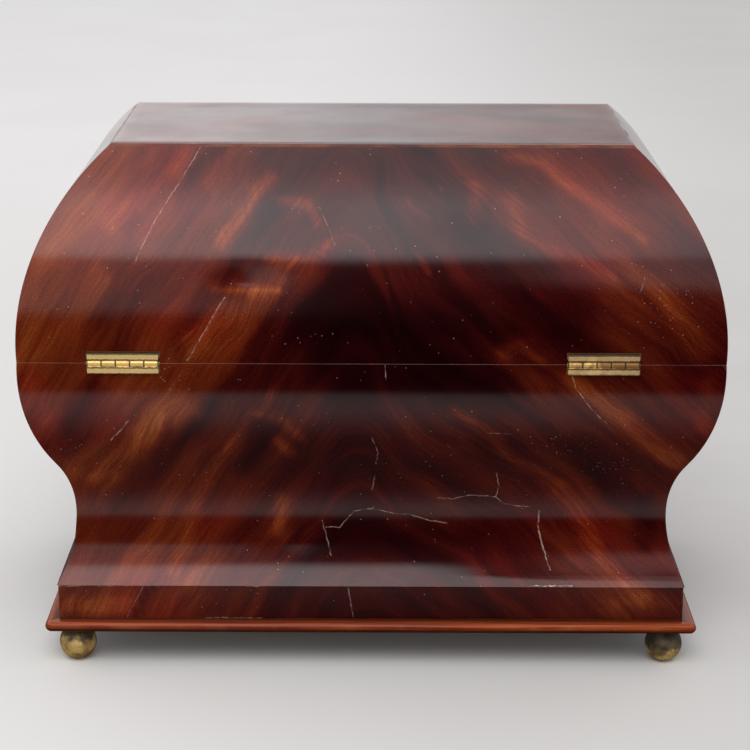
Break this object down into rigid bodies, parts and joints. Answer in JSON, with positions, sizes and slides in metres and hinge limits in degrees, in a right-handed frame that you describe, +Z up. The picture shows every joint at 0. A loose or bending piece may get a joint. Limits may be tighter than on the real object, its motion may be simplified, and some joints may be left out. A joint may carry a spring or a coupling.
{
  "type": "tea chest",
  "caption": "Bombe tea chest with a domed lid on two stop hinges, ball feet, canisters and a mixing bowl inside.",
  "frame": {"origin": "on the ground, at the centre of the rectangle of the four ball feet", "axes": "+Z up, +X to the right of someone facing the lock, -Y the front with the lock, +Y the back with the hinges"},
  "size_m": [0.3, 0.2086, 0.2293],
  "materials": {
    "flame_veneer": "flame mahogany veneer, French polished, worn",
    "plinth_mahogany": "mahogany, French polished",
    "moulding_mahogany": "lighter orange mahogany, polished",
    "banding": "mahogany banding, polished",
    "carcass_wood": "plain softwood, stained",
    "canister_wood": "mahogany, polished",
    "aged_brass": "tarnished and spotted",
    "hinge_brass": "worn bright on the edges",
    "screw_brass": "dull",
    "lock_brass": "brushed, dulled",
    "iron": "filed iron, oiled",
    "bone": "turned bone, polished",
    "bowl_glass": "clear, cut",
    "velvet": "crimson velvet over board"
  },
  "bodies": {
    "case": {"base_moulding_back": "moulding_mahogany", "base_moulding_front": "moulding_mahogany", "base_moulding_left": "moulding_mahogany", "base_moulding_right": "moulding_mahogany", "bottom_board": "carcass_wood", "bowl_board": "velvet", "case_back": "carcass_wood", "case_back_veneer": "flame_veneer", "case_front": "carcass_wood", "case_front_veneer": "flame_veneer", "case_left": "carcass_wood", "case_left_veneer": "flame_veneer", "case_right": "carcass_wood", "case_right_veneer": "flame_veneer", "escutcheon": "lock_brass", "foot_back_left": "aged_brass", "foot_back_right": "aged_brass", "foot_front_left": "aged_brass", "foot_front_right": "aged_brass", "hinge_left_case_leaf": "hinge_brass", "hinge_left_pin": "hinge_brass", "hinge_right_case_leaf": "hinge_brass", "hinge_right_pin": "hinge_brass", "hinge_screws_case": "screw_brass", "lock_case": "lock_brass", "lock_screws": "screw_brass", "partition_left": "carcass_wood", "partition_right": "carcass_wood", "plinth_back": "plinth_mahogany", "plinth_front": "plinth_mahogany", "plinth_left": "plinth_mahogany", "plinth_right": "plinth_mahogany", "rim_banding": "banding"},
    "lid": {"hinge_left_lid_leaf": "hinge_brass", "hinge_right_lid_leaf": "hinge_brass", "hinge_screws_lid": "screw_brass", "lid_back": "carcass_wood", "lid_back_veneer": "flame_veneer", "lid_front": "carcass_wood", "lid_front_veneer": "flame_veneer", "lid_left": "carcass_wood", "lid_left_veneer": "flame_veneer", "lid_lining": "velvet", "lid_right": "carcass_wood", "lid_right_veneer": "flame_veneer", "lid_rim_banding": "banding", "lid_top_board": "carcass_wood", "lid_top_veneer": "flame_veneer", "link_plate": "lock_brass", "link_plate_screws": "screw_brass"},
    "lock_bolt": {"lock_bolt": "iron"},
    "key": {"key": "iron"},
    "canister_left": {"canister_left": "canister_wood"},
    "canister_left_cover": {"canister_left_cover": "canister_wood", "canister_left_knob": "bone"},
    "canister_right": {"canister_right": "canister_wood"},
    "canister_right_cover": {"canister_right_cover": "canister_wood", "canister_right_knob": "bone"},
    "bowl": {"bowl": "bowl_glass"}
  },
  "joints": [
    {"name": "lid_hinge", "type": "hinge", "parent": "case", "child": "lid", "pos_m": [0, 0.094, 0.1422], "axis": [-1, 0, 0], "range_deg": [0, 95]},
    {"name": "key_turn", "type": "hinge", "parent": "case", "child": "key", "pos_m": [0, -0.0865, 0.1275], "axis": [0, 1, 0], "range_deg": [0, 360]},
    {"name": "bolt_slide", "type": "slide", "parent": "case", "child": "lock_bolt", "axis": [1, 0, 0], "range_m": [0, 0.004]},
    {"name": "canister_left_lift", "type": "slide", "parent": "case", "child": "canister_left", "axis": [0, 0, 1], "range_m": [0, 0.055]},
    {"name": "canister_left_cover_lift", "type": "slide", "parent": "canister_left", "child": "canister_left_cover", "axis": [0, 0, 1], "range_m": [0, 0.05]},
    {"name": "canister_right_lift", "type": "slide", "parent": "case", "child": "canister_right", "axis": [0, 0, 1], "range_m": [0, 0.055]},
    {"name": "canister_right_cover_lift", "type": "slide", "parent": "canister_right", "child": "canister_right_cover", "axis": [0, 0, 1], "range_m": [0, 0.05]},
    {"name": "bowl_lift", "type": "slide", "parent": "case", "child": "bowl", "axis": [0, 0, 1], "range_m": [0, 0.08]}
  ],
  "couplings": [
    {"joint": "key_turn", "follows": "bolt_slide", "rad_per_m": 1570.8}
  ]
}
